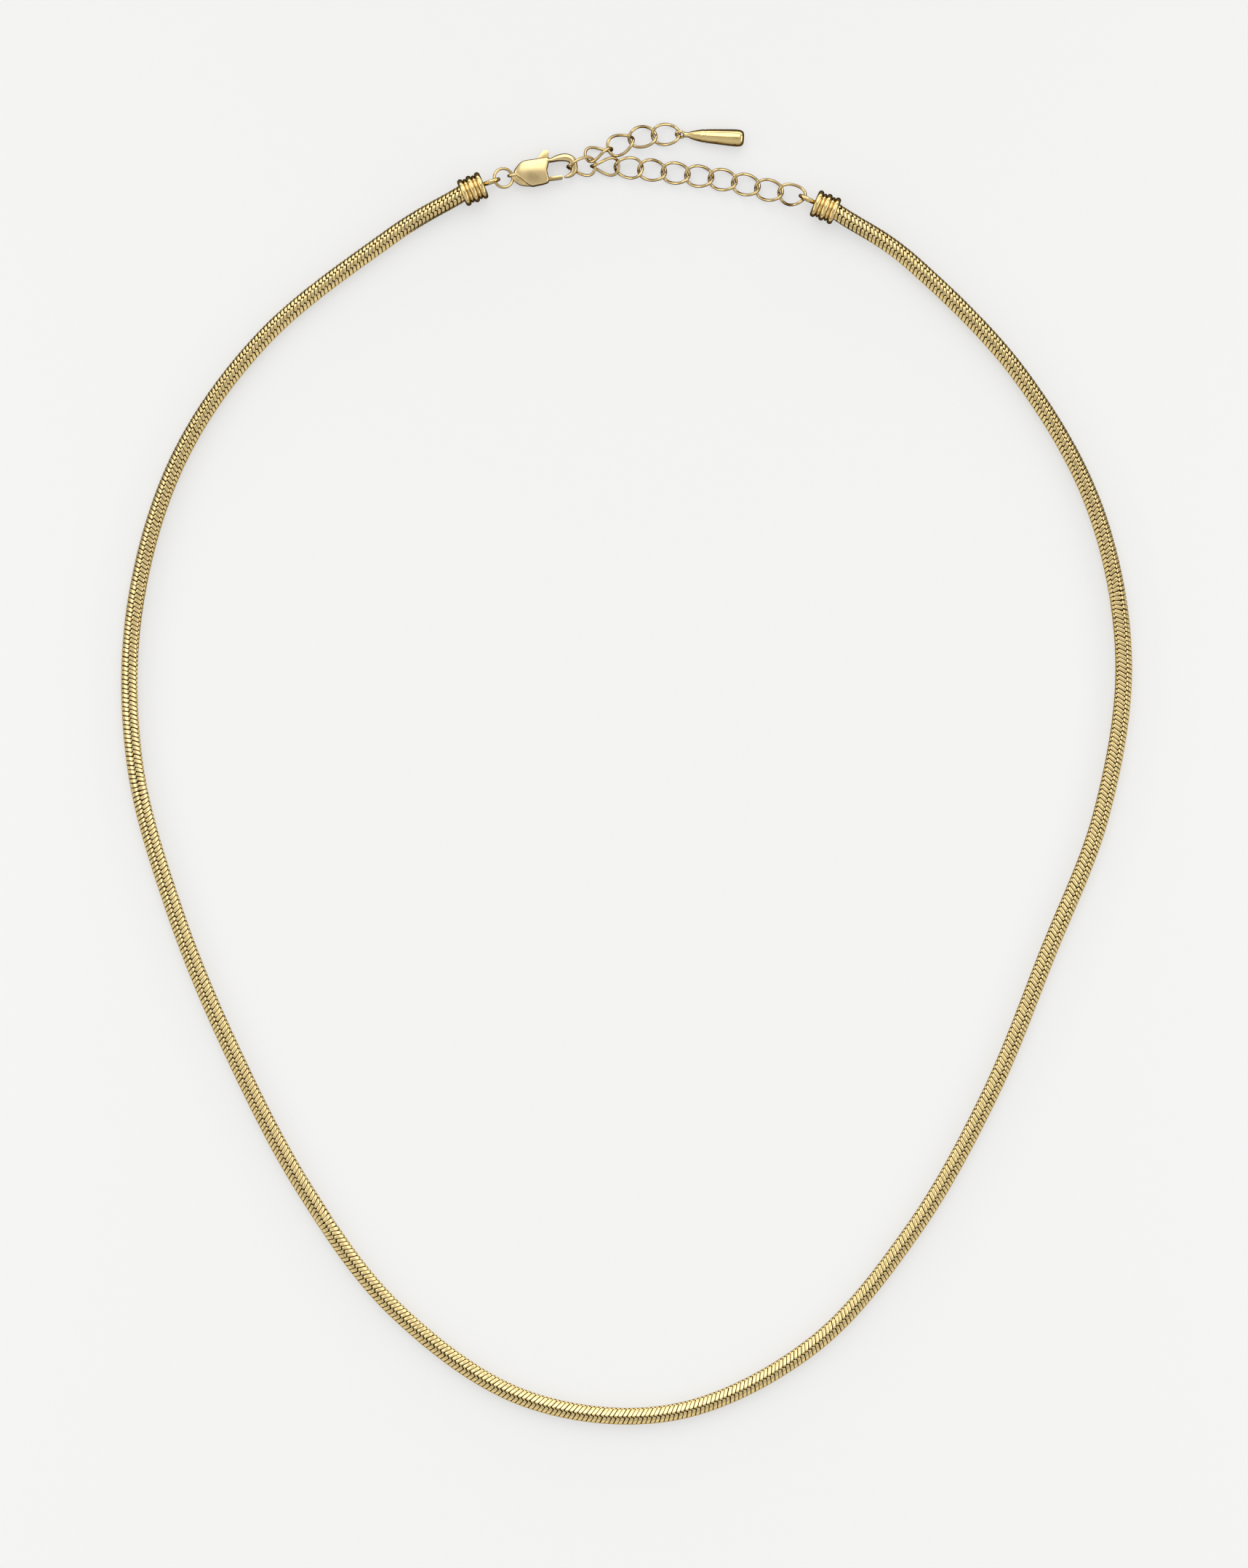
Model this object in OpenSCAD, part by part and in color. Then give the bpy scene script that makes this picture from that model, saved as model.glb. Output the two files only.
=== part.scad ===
// Round snake chain necklace with ribbed end caps, lobster clasp, extender and drop tag.
// It lies on a flat surface at z = 0, its front at -Y and its clasp at +Y.

/* [Snake chain] */
// Outside diameter of the round snake chain
chain_d = 2.4; // [2:0.1:2.8]
// How deep the chain's end sits in a cap
seat_depth = 2.2; // [1.6:0.1:2.6]

/* [End caps] */
// Diameter over the large ribs of a cap
cap_d = 3.9; // [3.7:0.1:4.4]
// Width of a large rib along the cap
big_rib_w = 0.8; // [0.7:0.05:1]
// Width of a small rib along the cap
small_rib_w = 0.45; // [0.35:0.05:0.6]
// How far the small ribs stand back from the large ones
rib_step = 0.2; // [0.1:0.05:0.3]
// Outside diameter of the loop soldered to a cap
cap_loop_d = 2.6; // [2.4:0.1:2.9]
// Wire diameter of that loop
cap_loop_wire = 0.5; // [0.4:0.05:0.6]

/* [Jump ring] */
// Outside diameter of the ring between the left cap and the clasp
ring_d = 3; // [2.8:0.1:3.6]
// Its wire diameter
ring_wire = 0.4; // [0.3:0.05:0.5]

/* [Clasp] */
// Length of the clasp's domed body
clasp_l = 4.9; // [4.6:0.1:5.4]
// Width of the domed body
clasp_w = 3.7; // [3.5:0.1:4.1]
// Thickness of the body at the top of its dome
clasp_t = 2.4; // [2.2:0.1:2.8]
// How far the hook reaches beyond the body
hook_reach = 3.75; // [3.5:0.05:4.2]
// Thickness of the hook at its bow
hook_t = 1.1; // [0.9:0.1:1.3]
// Outside diameter of the tail loop that the jump ring passes
tail_d = 1.8; // [1.7:0.1:2.1]
// Thickness of the tail loop
tail_wire = 0.4; // [0.3:0.05:0.5]
// Thickness of the lever with its gate and thumb nub
lever_t = 0.9; // [0.7:0.1:1.1]
// Width of the gate bar
gate_w = 0.54; // [0.4:0.02:0.7]
// Diameter of the lever's pivot pin
pin_d = 0.7; // [0.5:0.1:0.8]
// How far the lever swings when the thumb nub is pulled back
lever_swing = 24; // [12:1:28]

/* [Extender] */
// Width over one oval link
link_w = 3.2; // [2.9:0.1:3.6]
// Wire diameter of the links
link_wire = 0.4; // [0.3:0.05:0.45]
// Twist of each link's ends out of the link's middle plane
link_twist = 40; // [36:1:44]

/* [Drop tag] */
// Length of the tag without its neck
tag_l = 7.5; // [6:0.5:10]
// Greatest diameter of the tag
tag_d = 2.35; // [2:0.05:3]
// Outside diameter of the tag's eye
eye_d = 1.5; // [1.45:0.05:1.8]
// Wire diameter of the eye
eye_wire = 0.35; // [0.3:0.05:0.4]

/* [Fits] */
// Clear space between pieces that hang in each other
gap = 0.1; // [0.05:0.01:0.15]
// Running clearance of the lever on its pin, on the radius
pin_play = 0.05; // [0.03:0.01:0.08]

/* [Hidden] */
$fn = 48;

// Route of the snake chain on the surface, from the left cap's mouth round the front to the right
// cap's mouth: x, y, and lift, which is 0 on the surface and 1 at the height of a cap's bore
ROUTE = [
    [-22.5, 80, 1], [-32.5, 74, 0.2], [-49.5, 60.5, 0], [-61.5, 43.5, 0], [-67.5, 23, 0],
    [-67.5, 2, 0], [-62, -18.5, 0], [-54, -38, 0], [-44, -57, 0], [-31.5, -73.5, 0],
    [-14, -85.5, 0], [6.5, -87.5, 0], [25.5, -78.5, 0], [39.5, -62.5, 0], [50, -44, 0],
    [58, -24.5, 0], [65.5, -5, 0], [68.5, 16, 0], [64.5, 37, 0], [54, 55.5, 0],
    [39.5, 70.5, 0.2], [29, 77.5, 1]];
ROUTE_STEPS = 3;
TUBE_SIDES = 8;

// Headings in the lying plane, degrees from +X
left_cap_heading = 23;
left_loop_heading = 19;
ring_heading = 18;
clasp_heading = 7.4;
right_cap_heading = 157;
right_loop_heading = 154;
// How far below level a wire bears in an upright loop: the jump ring's, and the last link's
ring_dip = 10;
link_dip = 5;

cap_r = cap_d / 2;
cap_len = 3 * big_rib_w + 2 * small_rib_w;
// Distance from a cap's mouth to the middle of its loop, which is let into the closed end
cap_loop_r = (cap_loop_d - cap_loop_wire) / 2;
cap_loop_x = cap_len + cap_loop_d / 2 - 0.2;
ring_r = (ring_d - ring_wire) / 2;
tail_r = (tail_d - tail_wire) / 2;
eye_r = (eye_d - eye_wire) / 2;
link_b = (link_w - link_wire) / 2;

function dir(a) = [cos(a), sin(a)];
function flat(p) = [p[0], p[1]];
function sum(v, i = 0) = i == len(v) ? [0, 0] : v[i] + sum(v, i + 1);

// Curve through listed points, each span eased by its neighbours
function span(a, b, c, d, t) =
    0.5 * (2 * b + (c - a) * t + (2 * a - 5 * b + 4 * c - d) * t * t + (3 * b - a - 3 * c + d) * t * t * t);
function open_curve(p, steps) =
    let (n = len(p), first = 2 * p[0] - p[1], last = 2 * p[n - 1] - p[n - 2])
    [for (i = [0 : n - 2], k = [0 : steps - 1])
        span(i == 0 ? first : p[i - 1], p[i], p[i + 1], i == n - 2 ? last : p[i + 2], k / steps),
     p[n - 1]];
function closed_curve(p, steps) =
    let (n = len(p))
    [for (i = [0 : n - 1], k = [0 : steps - 1])
        span(p[(i + n - 1) % n], p[i], p[(i + 1) % n], p[(i + 2) % n], k / steps)];

// Faces of a skin over rings of points, each ring with the same number of points
function wall_faces(rings, sides, closed) =
    [for (i = [0 : rings - (closed ? 1 : 2)], k = [0 : sides - 1])
        let (j = (i + 1) % rings, m = (k + 1) % sides,
             a = i * sides + k, b = i * sides + m, c = j * sides + k, d = j * sides + m)
        each [[a, b, d], [a, d, c]]];
function end_faces(rings, sides) =
    [[for (k = [0 : sides - 1]) sides - 1 - k], [for (k = [0 : sides - 1]) (rings - 1) * sides + k]];
function unit(v) = v / norm(v);

// Snake chain: the route with its lift turned into a height, and a straight stretch in each cap
function route_height(lift) = chain_d / 2 + max(0, lift) * (cap_r - chain_d / 2);
route_line = [for (p = open_curve(ROUTE, ROUTE_STEPS)) [p[0], p[1], route_height(p[2])]];
left_mouth = flat(ROUTE[0]);
right_mouth = flat(ROUTE[len(ROUTE) - 1]);
function seated(mouth, heading) =
    let (p = mouth + seat_depth * dir(heading)) [p[0], p[1], cap_r];
chain_line = [seated(left_mouth, left_cap_heading), each route_line,
              seated(right_mouth, right_cap_heading)];

module tube(line, radius, sides) {
    n = len(line);
    rings = [for (i = [0 : n - 1])
        let (ahead = unit(line[min(n - 1, i + 1)] - line[max(0, i - 1)]),
             side = unit(cross(ahead, [0, 0, 1])),
             up = cross(side, ahead))
        for (k = [0 : sides - 1])
            line[i] + radius * (side * sin(k * 360 / sides) - up * cos(k * 360 / sides))];
    polyhedron(points = rings, faces = concat(wall_faces(n, sides, false), end_faces(n, sides)));
}

module snake_chain() {
    color("goldenrod") tube(chain_line, chain_d / 2, TUBE_SIDES);
}

// End cap along +X from its mouth at x = 0, with its loop standing upright at the closed end
module rib(x, w, r) {
    translate([r - w / 2, x + w / 2]) circle(d = w);
    translate([0, x]) square([r - w / 2, w]);
}

module cap_profile() {
    step = big_rib_w + small_rib_w;
    for (i = [0 : 2]) rib(i * step, big_rib_w, cap_r);
    for (i = [0 : 1]) rib(big_rib_w + i * step, small_rib_w, cap_r - rib_step);
}

module ring(r, wire) {
    rotate_extrude() translate([r, 0]) circle(d = wire);
}

module end_cap(mouth, heading, loop_turn) {
    translate([mouth[0], mouth[1], cap_r]) rotate([0, 0, heading]) {
        difference() {
            rotate([0, 90, 0]) rotate_extrude() cap_profile();
            translate([-1, 0, 0]) rotate([0, 90, 0]) cylinder(r = chain_d / 2 + gap, h = 1 + seat_depth + gap);
        }
        translate([cap_len, 0, 0]) rotate([0, 0, loop_turn])
            translate([cap_loop_x - cap_len, 0, 0]) rotate([90, 0, 0]) ring(cap_loop_r, cap_loop_wire);
    }
}

module end_cap_left() {
    color("gold") end_cap(left_mouth, left_cap_heading, left_loop_heading - left_cap_heading);
}

module end_cap_right() {
    color("gold") end_cap(right_mouth, right_cap_heading, right_loop_heading - right_cap_heading);
}

// Middle of a cap's loop in plan, and how far from it a wire that hangs in the loop comes to bear
function loop_middle(mouth, cap_heading, loop_heading) =
    mouth + cap_len * dir(cap_heading) + (cap_loop_x - cap_len) * dir(loop_heading);
left_loop = loop_middle(left_mouth, left_cap_heading, left_loop_heading);
right_loop = loop_middle(right_mouth, right_cap_heading, right_loop_heading);
function bearing(wire) = cap_loop_r - (cap_loop_wire + wire) / 2 - gap;

// Jump ring: one side passes the left cap's loop, the other the clasp's tail loop
clasp_z = clasp_t / 2;
ring_near = left_loop + bearing(ring_wire) * cos(ring_dip) * dir(left_loop_heading);
ring_drop = cap_r - bearing(ring_wire) * sin(ring_dip) - clasp_z;
ring_tilt = asin(ring_drop / (2 * ring_r));
ring_at = ring_near + ring_r * cos(ring_tilt) * dir(ring_heading);

module placed_ring(wire) {
    translate([ring_at[0], ring_at[1], clasp_z + ring_drop / 2]) rotate([0, 0, ring_heading])
        rotate([0, ring_tilt, 0]) ring(ring_r, wire);
}

module jump_ring() {
    color("gold") placed_ring(ring_wire);
}

// Clasp: origin in the middle of its body, +X toward the hook, +Y toward the hook's spine
clasp_half = clasp_w / 2;
body_back = -0.55 * clasp_l;
body_front = body_back + clasp_l;
tail_x = body_back - 0.05;
hook_front = body_front + 0.2;
ring_far = ring_near + 2 * ring_r * cos(ring_tilt) * dir(ring_heading);
// The tail loop's wire stands inside the ring, a clear space behind the ring's far side
clasp_at = ring_far - (tail_x - tail_r + (tail_wire + ring_wire) / 2 + gap) * dir(clasp_heading);

// Outline of the dome: share of the body's length from its back, share of its half width
DOME = [
    [0, 0.14], [0.12, 0.62], [0.3, 0.93], [0.6, 0.97], [0.98, 1], [1.04, 0.85], [1, 0.5],
    [0.94, 0.05], [0.955, -0.45], [0.96, -0.75], [0.88, -0.93], [0.65, -1], [0.42, -0.98],
    [0.2, -0.42]];
// Outline of the lower band along the dome's back edge, in the same shares
BAND = [
    [-0.06, 0.1], [0.1, 0.3], [0.4, 0], [0.6, -0.6], [0.55, -0.98], [0.24, -0.9], [0.06, -0.66],
    [-0.08, -0.18]];
function clasp_points(shares) =
    [for (p = closed_curve(shares, 4)) [body_back + p[0] * clasp_l, p[1] * clasp_half]];

// Hook: share of its reach, share of the body's half width, width in plan and height as shares
// of its thickness at the bow
HOOK = [
    [-0.09, 0.74, 0.5, 1.65], [0.08, 0.74, 0.56, 1.6], [0.27, 0.82, 0.78, 1.4],
    [0.48, 0.84, 0.95, 1.2], [0.66, 0.77, 1, 1.1], [0.81, 0.56, 0.95, 1], [0.87, 0.22, 0.82, 1],
    [0.86, -0.14, 0.77, 0.9], [0.78, -0.41, 0.66, 0.8], [0.65, -0.57, 0.5, 0.75],
    [0.5, -0.63, 0.3, 0.6], [0.46, -0.64, 0.14, 0.3]];
HOOK_SIDES = 12;
hook_line = open_curve(HOOK, 2);

pivot = [0.18 * clasp_l, 0.1 * clasp_half];
hub_r = pin_d / 2 + pin_play + 0.35;
gate_y = -0.63 * clasp_half;
gate_end = hook_front + 0.43 * hook_reach - gap;
nub_tip = [0.4 * clasp_l, 1.31 * clasp_half];
nub_tip_r = 0.43;
nub_heel = [0.245 * clasp_l, clasp_half];
nub_heel_r = 0.25;
slot_t = lever_t + 2 * gap;
// A point of the lever when its nub is pulled all the way back
function swung(p) =
    let (q = p - pivot)
    pivot + [q[0] * cos(lever_swing) - q[1] * sin(lever_swing), q[0] * sin(lever_swing) + q[1] * cos(lever_swing)];

module dome() {
    drop = 0.5;
    far = norm([clasp_l, clasp_w]) / 2;
    ball_r = (far * far + drop * drop) / (2 * drop);
    intersection() {
        translate([0, 0, -clasp_t / 2]) linear_extrude(clasp_t) polygon(clasp_points(DOME));
        translate([0, 0, clasp_t / 2 - ball_r]) sphere(r = ball_r, $fn = 128);
        translate([0, 0, ball_r - clasp_t / 2]) sphere(r = ball_r, $fn = 128);
    }
}

module band() {
    band_t = 0.5 * clasp_t;
    translate([0, 0, -band_t / 2]) linear_extrude(band_t) polygon(clasp_points(BAND));
}

module hook() {
    n = len(hook_line);
    function place(i) = [hook_front + hook_line[i][0] * hook_reach, hook_line[i][1] * clasp_half];
    rings = [for (i = [0 : n - 1])
        let (ahead = unit(place(min(n - 1, i + 1)) - place(max(0, i - 1))),
             side = [ahead[1], -ahead[0]],
             w = hook_line[i][2] * hook_t / 2,
             h = hook_line[i][3] * hook_t / 2)
        for (k = [0 : HOOK_SIDES - 1])
            let (a = k * 360 / HOOK_SIDES, p = place(i) + w * sin(a) * side)
            [p[0], p[1], -h * cos(a)]];
    polyhedron(points = rings, faces = concat(wall_faces(n, HOOK_SIDES, false), end_faces(n, HOOK_SIDES)));
}

// Room for the lever between the body's two cheeks, for its nub above the pivot and its gate below,
// at rest and pulled all the way back
module lever_room() {
    left = pivot[0] - hub_r - gap;
    right = pivot[0] + hub_r + 2 * gap;
    heel_left = min(left, swung(nub_heel)[0] - nub_heel_r - gap);
    tip_right = nub_tip[0] + nub_tip_r + gap;
    gate_right = hook_front + hook_reach / 4;
    gate_top = max(pivot[1], swung([gate_right, gate_y + gate_w / 2])[1]) + gap;
    gate_bottom = gate_y - gate_w / 2 - gap;
    translate([0, 0, -slot_t / 2]) linear_extrude(slot_t) polygon([
        [left, gate_bottom], [gate_right, gate_bottom], [gate_right, gate_top], [right, gate_top],
        [tip_right, nub_tip[1]], [heel_left, nub_tip[1]], [left, pivot[1]]]);
}

module in_clasp() {
    translate([clasp_at[0], clasp_at[1], clasp_z]) rotate([0, 0, clasp_heading]) children();
}

module clasp_body() {
    color("gold") {
        difference() {
            in_clasp() {
                difference() {
                    union() {
                        dome();
                        band();
                        hook();
                    }
                    lever_room();
                }
                translate([pivot[0], pivot[1], -slot_t / 2 - 0.2]) cylinder(d = pin_d, h = slot_t + 0.4);
                translate([tail_x, 0, 0]) rotate([90, 0, 0]) ring(tail_r, tail_wire);
            }
            placed_ring(ring_wire + 2 * gap);
        }
    }
}

module clasp_lever() {
    color("gold") in_clasp() translate([0, 0, -lever_t / 2]) difference() {
        linear_extrude(lever_t) {
            hull() {
                translate(pivot) circle(r = hub_r);
                translate(nub_tip) circle(r = nub_tip_r);
                translate(nub_heel) circle(r = nub_heel_r);
            }
            hull() {
                translate(pivot) circle(r = hub_r);
                translate([pivot[0] + gate_w / 2, gate_y]) circle(d = gate_w);
            }
            hull() {
                translate([pivot[0] + gate_w / 2, gate_y]) circle(d = gate_w);
                translate([gate_end - gate_w / 2, gate_y]) circle(d = gate_w);
            }
        }
        translate([pivot[0], pivot[1], -1]) cylinder(d = pin_d + 2 * pin_play, h = lever_t + 2);
    }
}

// Extender: the hooked link carries two branches, nine links to the right cap and four to the tag.
// A joint lies midway between the two wires that hang in each other.
hang = link_wire + gap;
eye_hang = (link_wire + eye_wire) / 2 + gap;
// Height of a flat-lying link's middle, and how far the other joints are lifted above it
lying_z = link_wire / 2 + tan(link_twist) * link_b / 2;
hooked_z = lying_z + 0.65;
// Headings of the hooked link and the lower links before the branch is fitted between its ends,
// their rolls about their own length, and the lift of each joint after the hooked link
LOWER_HEADINGS = [2, -1, -5, -6, -8, -7, -10, -14, -13, -12];
LOWER_ROLLS = [44, 52, 16, 0, 0, 0, 0, 0, 0, 0];
LOWER_LIFTS = [0.85, 0.45, 0.4, 0, 0, 0, 0, 0, 0.2];
// The same for the upper branch, with its first joint's place as a share of a link's width
UPPER_START = [-0.26, 0.45];
UPPER_HEADINGS = [15, 28, 10, 2];
UPPER_ROLLS = [-62, -16, 2, 0];
UPPER_LIFTS = [0.65, 0.95, 0.5, 0.05, 0];
tag_heading = -4;

// The inner face of the hook's bow, which the hooked link's left end stands behind with some play
hook_play = 0.15;
bow_inner = hook_front + 0.87 * hook_reach - 0.41 * hook_t;
branch_start = clasp_at + (bow_inner - link_wire / 2 - gap - hook_play + hang / 2) * dir(clasp_heading)
             + 0.06 * clasp_half * dir(clasp_heading + 90);
// The last link's wire crosses the cap's loop aslant, so it bears nearer the loop's middle
last_bearing = bearing(link_wire) - gap;
branch_end = right_loop + (last_bearing * cos(link_dip) + hang / 2) * dir(right_loop_heading);
branch = branch_end - branch_start;
lower_z = [hooked_z, for (l = LOWER_LIFTS) lying_z + l, cap_r - last_bearing * sin(link_dip)];
// Reach of all links together at a given pitch, each shortened by its own slope
function steps(headings, z, p) =
    [for (i = [0 : len(headings) - 1]) sqrt(1 - pow((z[i + 1] - z[i]) / p, 2)) * dir(headings[i])];
function fitted(p) = norm(branch) / norm(sum(steps(LOWER_HEADINGS, lower_z, p)));
pitch = fitted(fitted(norm(branch) / len(LOWER_HEADINGS)));
link_a = (pitch + hang) / 2;
reach = sum(steps(LOWER_HEADINGS, lower_z, pitch));
fit_turn = atan2(branch[1], branch[0]) - atan2(reach[1], reach[0]);
function joints(start, headings, z, turn, i = 0) =
    i == len(headings) ? [start]
    : let (flat_step = sqrt(pitch * pitch - pow(z[i + 1] - z[i], 2)))
      [start, each joints(start + flat_step * dir(headings[i] + turn), headings, z, turn, i + 1)];
lower = joints(branch_start, LOWER_HEADINGS, lower_z, fit_turn);
upper_z = [for (l = UPPER_LIFTS) lying_z + l];
upper = joints(lower[1] + link_w * UPPER_START, UPPER_HEADINGS, upper_z, 0);

// Twisted oval link along X: its two ends turn out of the middle plane in opposite ways
LINK_RINGS = 16;
LINK_SIDES = 6;
module link() {
    rise = tan(link_twist) / link_a;
    function wire_at(t) = [link_a * cos(t), link_b * sin(t), -rise * link_a * link_b * cos(t) * sin(t)];
    rings = [for (i = [0 : LINK_RINGS - 1])
        let (t = i * 360 / LINK_RINGS,
             ahead = unit(wire_at(t + 5) - wire_at(t - 5)),
             out = unit(cross(ahead, [0, 0, 1])),
             up = cross(out, ahead))
        for (k = [0 : LINK_SIDES - 1])
            let (a = k * 360 / LINK_SIDES)
            wire_at(t) + link_wire / 2 * (out * cos(a) + up * sin(a))];
    polyhedron(points = rings, faces = wall_faces(LINK_RINGS, LINK_SIDES, true));
}

// Link i of a branch lies between joints i and i + 1
module branch_link(joint, z, rolls, i) {
    a = joint[i];
    b = joint[i + 1];
    middle = (a + b) / 2;
    color("gold") translate([middle[0], middle[1], (z[i] + z[i + 1]) / 2])
        rotate([rolls[i], -asin((z[i + 1] - z[i]) / pitch), atan2(b[1] - a[1], b[0] - a[0])]) link();
}

module extender_link(number) {
    if (number <= len(LOWER_HEADINGS)) branch_link(lower, lower_z, LOWER_ROLLS, number - 1);
    else branch_link(upper, upper_z, UPPER_ROLLS, number - len(LOWER_HEADINGS) - 1);
}

// Drop tag along +X from its eye, which is turned square to the last link's wire: share of its
// length, share of its greatest radius
TAG = [
    [0, 0.36], [0.08, 0.42], [0.2, 0.51], [0.3, 0.6], [0.45, 0.74], [0.6, 0.87], [0.75, 0.97],
    [0.86, 1], [0.93, 0.96], [0.97, 0.85], [0.99, 0.7], [1, 0.5]];
tag_neck = 0.7;
seam_x = 0.28 * tag_l;
seam = 0.12;

module tag_profile() {
    polygon([[0, 0], for (p = TAG) [p[1] * tag_d / 2, p[0] * tag_l], [0, tag_l]]);
}

module drop_tag() {
    n = len(UPPER_HEADINGS);
    hung = upper[n] + (hang / 2) * dir(UPPER_HEADINGS[n - 1]);
    eye_at = hung - eye_hang * dir(UPPER_HEADINGS[n - 1]) + eye_r * dir(tag_heading);
    eye_z = eye_d / 2;
    body_x = eye_r + tag_neck;
    slope = asin((tag_d / 2 - eye_z) / (body_x + 0.8 * tag_l));
    color("gold") translate([eye_at[0], eye_at[1], eye_z]) rotate([0, -slope, tag_heading]) {
        rotate([90 - link_twist, 0, 0]) ring(eye_r, eye_wire);
        translate([eye_r, 0, 0]) rotate([0, 90, 0]) cylinder(r = 0.3 * tag_d / 2, h = tag_neck + 0.1);
        translate([body_x, 0, 0]) difference() {
            rotate([0, 90, 0]) rotate_extrude() tag_profile();
            translate([seam_x, 0, 0]) rotate([0, 90, 0]) rotate_extrude()
                translate([0.59 * tag_d / 2 + seam / 4, 0]) circle(d = seam);
        }
    }
}

snake_chain();
end_cap_left();
end_cap_right();
jump_ring();
clasp_body();
clasp_lever();
extender_link(1);  // extender_link_01
extender_link(2);  // extender_link_02
extender_link(3);  // extender_link_03
extender_link(4);  // extender_link_04
extender_link(5);  // extender_link_05
extender_link(6);  // extender_link_06
extender_link(7);  // extender_link_07
extender_link(8);  // extender_link_08
extender_link(9);  // extender_link_09
extender_link(10);  // extender_link_10
extender_link(11);  // extender_link_11
extender_link(12);  // extender_link_12
extender_link(13);  // extender_link_13
extender_link(14);  // extender_link_14
drop_tag();
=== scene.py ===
import math

import bmesh
import bpy
import numpy as np
from mathutils import Matrix, Vector
from mathutils.geometry import convex_hull_2d


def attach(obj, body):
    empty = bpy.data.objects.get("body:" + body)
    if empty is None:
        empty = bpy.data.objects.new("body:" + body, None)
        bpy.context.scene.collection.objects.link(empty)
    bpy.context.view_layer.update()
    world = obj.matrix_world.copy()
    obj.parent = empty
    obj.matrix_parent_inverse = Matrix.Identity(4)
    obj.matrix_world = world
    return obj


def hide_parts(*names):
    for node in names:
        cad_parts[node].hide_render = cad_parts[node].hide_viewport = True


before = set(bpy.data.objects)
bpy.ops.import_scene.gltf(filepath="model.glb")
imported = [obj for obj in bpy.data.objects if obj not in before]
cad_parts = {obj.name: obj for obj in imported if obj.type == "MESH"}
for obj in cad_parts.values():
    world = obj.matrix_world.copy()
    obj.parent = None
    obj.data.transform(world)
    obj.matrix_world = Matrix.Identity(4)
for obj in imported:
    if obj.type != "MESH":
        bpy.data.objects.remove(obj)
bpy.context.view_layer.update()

MM = 0.001

# ---------------------------------------------------------------- sizes, in millimetres
CHAIN_D = 2.4
CAP_D = 3.9
BIG_RIB_W = 0.8
SMALL_RIB_W = 0.45
RIB_STEP = 0.2
SEAT_DEPTH = 2.2
CAP_LOOP_D = 2.6
CAP_LOOP_WIRE = 0.5
RING_D = 3.0
RING_WIRE = 0.4
CLASP_L = 4.9
CLASP_W = 3.7
CLASP_T = 2.4
HOOK_REACH = 3.75
HOOK_T = 1.1
TAIL_D = 1.8
TAIL_WIRE = 0.4
LEVER_T = 0.9
LEVER_SWING = 24            # degrees
GATE_W = 0.54
PIN_D = 0.7
LINK_W = 3.2
LINK_WIRE = 0.4
LINK_TWIST = 40             # degrees
LINK_HALF_L = 1.883         # half the length of a link's centre line
TAG_L = 7.5
TAG_D = 2.35
EYE_D = 1.5
EYE_WIRE = 0.35
GAP = 0.1
PIN_PLAY = 0.05
ON_AXIS = 0.001             # radius of a turned piece where its profile meets the axis

# Where the pieces lie: places in millimetres, headings and slopes in degrees
CAP_R = CAP_D / 2
CLASP_Z = CLASP_T / 2
LEFT_CAP = (23, 19)         # headings of the cap and of its loop
RIGHT_CAP = (157, 154)
RING_AT = (-16.761, 82.196, CLASP_Z + 0.332)
RING_TURN = (18, 14.78)
CLASP_AT = (-12.645, 82.964, CLASP_Z)
CLASP_HEADING = 7.4
EYE_AT = (7.537, 88.262, EYE_D / 2)
TAG_HEADING = -4
TAG_SLOPE = 3.35

# Route of the snake chain in metres, from the left cap's mouth round the front to the right
# cap's mouth: x, y, and lift, which is 0 on the surface and 1 at the height of a cap's bore
ROUTE = [
    (-0.0225, 0.080, 1), (-0.0325, 0.074, 0.2), (-0.0495, 0.0605, 0), (-0.0615, 0.0435, 0),
    (-0.0675, 0.023, 0), (-0.0675, 0.002, 0), (-0.062, -0.0185, 0), (-0.054, -0.038, 0),
    (-0.044, -0.057, 0), (-0.0315, -0.0735, 0), (-0.014, -0.0855, 0), (0.0065, -0.0875, 0),
    (0.0255, -0.0785, 0), (0.0395, -0.0625, 0), (0.050, -0.044, 0), (0.058, -0.0245, 0),
    (0.0655, -0.005, 0), (0.0685, 0.016, 0), (0.0645, 0.037, 0), (0.054, 0.0555, 0),
    (0.0395, 0.0705, 0.2), (0.029, 0.0775, 1)]


# ---------------------------------------------------------------- lines and skins
def pointing(degrees):
    """The flat direction at an angle from X."""
    return np.array([math.cos(math.radians(degrees)), math.sin(math.radians(degrees))])


def unit(rows):
    """Each row, a vector, brought to length 1."""
    return rows / np.linalg.norm(rows, axis=1)[:, None]


def all_round(count):
    """Evenly spaced angles on a full turn, in radians."""
    return np.linspace(0, 2 * np.pi, count, endpoint=False)


def circle(middle, r, count):
    """Points on a flat circle."""
    a = all_round(count)
    return np.asarray(middle) + r * np.column_stack([np.cos(a), np.sin(a)])


def smooth_line(points, steps, closed=False):
    """Points along a curve through the listed points, each span eased by its neighbours."""
    p = np.array(points, float)
    if closed:
        p = np.vstack([p[-1:], p, p[:2]])
    else:
        p = np.vstack([2 * p[0] - p[1], p, 2 * p[-1] - p[-2]])
    t = (np.arange(steps) / steps)[:, None]
    out = []
    for a, b, c, d in zip(p, p[1:], p[2:], p[3:]):
        out.append(0.5 * (2 * b + (c - a) * t + (2 * a - 5 * b + 4 * c - d) * t ** 2
                          + (3 * b - a - 3 * c + d) * t ** 3))
    if not closed:
        out.append(p[-2:-1])
    return np.vstack(out)


def skin_faces(rings, sides, closed):
    """Faces of a skin over rings of points, each ring closed on itself."""
    i = np.arange(rings if closed else rings - 1)[:, None]
    k = np.arange(sides)[None]
    j, m = (i + 1) % rings, (k + 1) % sides
    corners = [i * sides + k, i * sides + m, j * sides + m, j * sides + k]
    return np.stack(corners, -1).reshape(-1, 4)


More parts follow.
